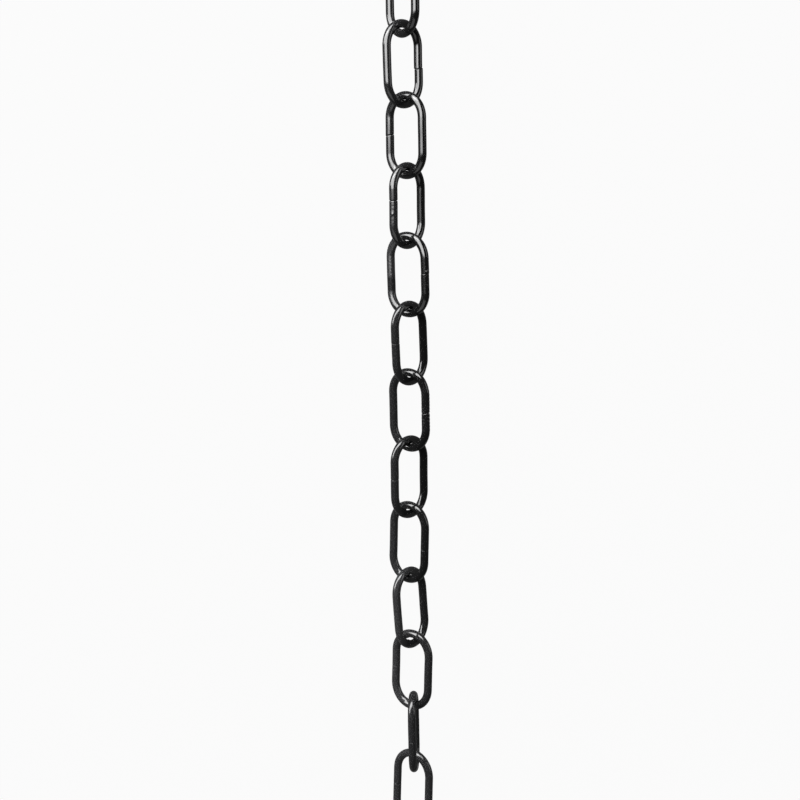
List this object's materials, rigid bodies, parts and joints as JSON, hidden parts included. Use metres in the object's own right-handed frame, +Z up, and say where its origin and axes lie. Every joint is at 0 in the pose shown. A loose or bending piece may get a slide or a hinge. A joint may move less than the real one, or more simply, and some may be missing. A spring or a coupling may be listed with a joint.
{
  "type": "oval link chain",
  "caption": "Length of oval link chain: bent round-wire links with open butt seams, each hooked through the next and free to swing, in a glossy black coat.",
  "frame": {"origin": "middle of the stretched chain's footprint, on the floor that it lies on", "axes": "+Y along the chain, towards its first link; +X across it; +Z up"},
  "size_m": [0.0191, 0.5992, 0.0225],
  "materials": {
    "black_coat": "gloss"
  },
  "bodies": {
    "link_01": {"link_01": "black_coat"},
    "link_02": {"link_02": "black_coat"},
    "link_03": {"link_03": "black_coat"},
    "link_04": {"link_04": "black_coat"},
    "link_05": {"link_05": "black_coat"},
    "link_06": {"link_06": "black_coat"},
    "link_07": {"link_07": "black_coat"},
    "link_08": {"link_08": "black_coat"},
    "link_09": {"link_09": "black_coat"},
    "link_10": {"link_10": "black_coat"},
    "link_11": {"link_11": "black_coat"},
    "link_12": {"link_12": "black_coat"},
    "link_13": {"link_13": "black_coat"},
    "link_14": {"link_14": "black_coat"},
    "link_15": {"link_15": "black_coat"},
    "link_16": {"link_16": "black_coat"},
    "link_17": {"link_17": "black_coat"},
    "link_18": {"link_18": "black_coat"},
    "link_19": {"link_19": "black_coat"},
    "link_20": {"link_20": "black_coat"}
  },
  "joints": [
    {"name": "link_02_swing", "type": "hinge", "parent": "link_01", "child": "link_02", "pos_m": [0, 0.26408, 0.00848], "axis": [0.7071, 0, -0.7071], "range_deg": [-110, 110]},
    {"name": "link_03_swing", "type": "hinge", "parent": "link_02", "child": "link_03", "pos_m": [0, 0.23422, 0.00848], "axis": [0.7071, 0, 0.7071], "range_deg": [-110, 110]},
    {"name": "link_04_swing", "type": "hinge", "parent": "link_03", "child": "link_04", "pos_m": [-0.00011, 0.20438, 0.00848], "axis": [-0.7071, -0.0037, 0.7071], "range_deg": [-110, 110]},
    {"name": "link_05_swing", "type": "hinge", "parent": "link_04", "child": "link_05", "pos_m": [-0.0005, 0.17478, 0.00967], "axis": [-0.5592, 0, -0.829], "range_deg": [-110, 110]},
    {"name": "link_06_swing", "type": "hinge", "parent": "link_05", "child": "link_06", "pos_m": [-0.00033, 0.14548, 0.00854], "axis": [0.7008, 0.011, -0.7133], "range_deg": [-110, 110]},
    {"name": "link_07_swing", "type": "hinge", "parent": "link_06", "child": "link_07", "pos_m": [0.00033, 0.11568, 0.00831], "axis": [0.7254, 0.0013, 0.6884], "range_deg": [-110, 110]},
    {"name": "link_08_swing", "type": "hinge", "parent": "link_07", "child": "link_08", "pos_m": [0.00047, 0.08588, 0.00917], "axis": [-0.6293, 0.0011, 0.7771], "range_deg": [-110, 110]},
    {"name": "link_09_swing", "type": "hinge", "parent": "link_08", "child": "link_09", "pos_m": [0.00064, 0.05618, 0.00784], "axis": [-0.7715, -0.0108, -0.6361], "range_deg": [-110, 110]},
    {"name": "link_10_swing", "type": "hinge", "parent": "link_09", "child": "link_10", "pos_m": [0.00111, 0.02648, 0.00906], "axis": [0.6426, 0.0157, -0.766], "range_deg": [-110, 110]},
    {"name": "link_11_swing", "type": "hinge", "parent": "link_10", "child": "link_11", "pos_m": [0.00039, -0.00322, 0.00814], "axis": [0.7431, 0.0039, 0.6691], "range_deg": [-110, 110]},
    {"name": "link_12_swing", "type": "hinge", "parent": "link_11", "child": "link_12", "pos_m": [-0.0001, -0.03302, 0.00872], "axis": [-0.682, 0, 0.7314], "range_deg": [-110, 110]},
    {"name": "link_13_swing", "type": "hinge", "parent": "link_12", "child": "link_13", "pos_m": [-0.00113, -0.06282, 0.00831], "axis": [-0.725, 0.0228, -0.6884], "range_deg": [-110, 110]},
    {"name": "link_14_swing", "type": "hinge", "parent": "link_13", "child": "link_14", "pos_m": [0.0007, -0.0926, 0.00928], "axis": [0.6146, 0.0365, -0.788], "range_deg": [-110, 110]},
    {"name": "link_15_swing", "type": "hinge", "parent": "link_14", "child": "link_15", "pos_m": [-0.00059, -0.12216, 0.00796], "axis": [0.7599, -0.0265, 0.6494], "range_deg": [-40, 110]},
    {"name": "link_16_swing", "type": "hinge", "parent": "link_15", "child": "link_16", "pos_m": [0.00058, -0.15027, 0.01124], "axis": [-0.0872, -0.0009, 0.9962], "range_deg": [-5, 110]},
    {"name": "link_17_swing", "type": "hinge", "parent": "link_16", "child": "link_17", "pos_m": [-0.00089, -0.17876, 0.00808], "axis": [-0.7485, 0.0261, -0.6626], "range_deg": [-110, 110]},
    {"name": "link_18_swing", "type": "hinge", "parent": "link_17", "child": "link_18", "pos_m": [0.00002, -0.20837, 0.00848], "axis": [0.7071, -0.0074, -0.7071], "range_deg": [-110, 110]},
    {"name": "link_19_swing", "type": "hinge", "parent": "link_18", "child": "link_19", "pos_m": [0.0002, -0.23817, 0.00848], "axis": [0.7071, 0, 0.7071], "range_deg": [-110, 110]},
    {"name": "link_20_swing", "type": "hinge", "parent": "link_19", "child": "link_20", "pos_m": [0.0001, -0.26803, 0.00848], "axis": [-0.7071, 0, 0.7071], "range_deg": [-110, 110]}
  ]
}
